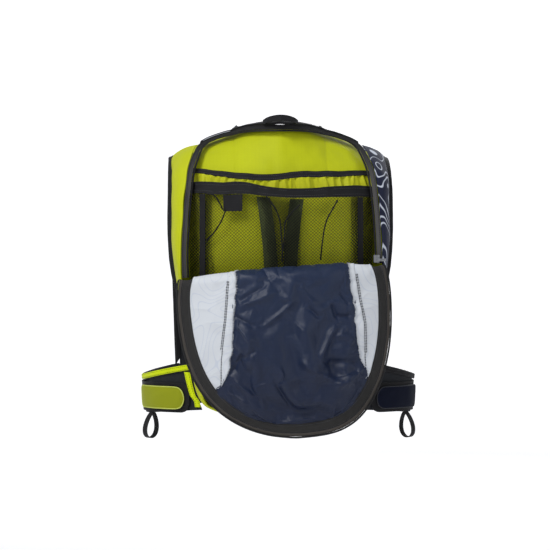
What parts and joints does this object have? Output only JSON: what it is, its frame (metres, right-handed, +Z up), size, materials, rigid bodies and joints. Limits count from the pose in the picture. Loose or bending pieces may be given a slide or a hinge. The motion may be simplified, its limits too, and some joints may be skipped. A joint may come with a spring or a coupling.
{
  "type": "running hydration vest",
  "caption": "Running hydration vest as worn: lime mesh back with net pocket and sleeve, hanging navy-lined flap, black zip, side wings, flask pockets.",
  "frame": {"origin": "Midway between the wearer's shoulders, level with the underside of the two straps about 100 mm out from the middle, where the vest rests on the body", "axes": "+X to the wearer's right, +Y forward out of the chest, +Z up"},
  "size_m": [0.3314, 0.3104, 0.3842],
  "materials": {
    "lime_cloth": "matte woven cloth, yellow green",
    "navy_print_cloth": "matte cloth, navy with fine white contour lines",
    "navy_lining_cloth": "thin slightly glossy ripstop",
    "pale_cloth": "pale grey cloth with faint contour lines",
    "dark_mesh_cloth": "matte dark spacer mesh",
    "net_cloth": "open black net",
    "black_webbing": "matte woven tape",
    "dark_zip_tape": "matte tape with a thin grey edge",
    "black_coil": "fine nylon coil",
    "black_plastic": "moulded black plastic",
    "pale_metal": "pale bright metal"
  },
  "bodies": {
    "root": {"back_panel": "dark_mesh_cloth", "strap_right": "navy_print_cloth", "strap_left": "lime_cloth", "front_panel_right": "dark_mesh_cloth", "front_panel_left": "dark_mesh_cloth", "armhole_binding_right": "black_webbing", "armhole_binding_left": "black_webbing", "neck_binding": "black_webbing", "pack_side_right": "navy_print_cloth", "pack_side_left": "lime_cloth", "pack_shell": "pale_cloth", "hem_binding": "black_webbing", "zip_tape_pack": "dark_zip_tape", "zip_coil_pack": "black_coil", "yoke": "black_webbing", "sleeve": "lime_cloth", "sleeve_band": "black_webbing", "net_pocket": "net_cloth", "net_band": "black_webbing", "net_tape_left": "black_webbing", "net_tape_right": "black_webbing", "loop_tab": "black_webbing", "bladder_strap_left": "black_webbing", "bladder_strap_right": "black_webbing", "flap_lining": "navy_lining_cloth", "flap_side_left": "pale_cloth", "flap_side_right": "pale_cloth", "zip_tape_flap": "dark_zip_tape", "zip_coil_flap": "black_coil", "wing_right": "dark_mesh_cloth", "wing_left": "dark_mesh_cloth", "wing_trim_top_right": "black_webbing", "wing_trim_top_left": "lime_cloth", "wing_trim_root_right": "black_webbing", "wing_trim_root_left": "lime_cloth", "wing_tongue_right": "black_webbing", "wing_tongue_left": "black_webbing", "wing_patch_right": "navy_print_cloth", "wing_patch_left": "lime_cloth", "side_loop_right": "black_webbing", "side_loop_left": "black_webbing", "haul_loop": "black_webbing", "slider": "pale_metal", "pull": "pale_metal", "flask_pocket_right": "navy_print_cloth", "flask_pocket_left": "lime_cloth", "flask_band_right": "black_webbing", "flask_band_left": "black_webbing", "chest_web_high_right": "black_webbing", "chest_web_high_left": "black_webbing", "chest_clip_high": "black_plastic", "chest_web_low_right": "black_webbing", "chest_web_low_left": "black_webbing", "chest_clip_low": "black_plastic"}
  },
  "joints": []
}
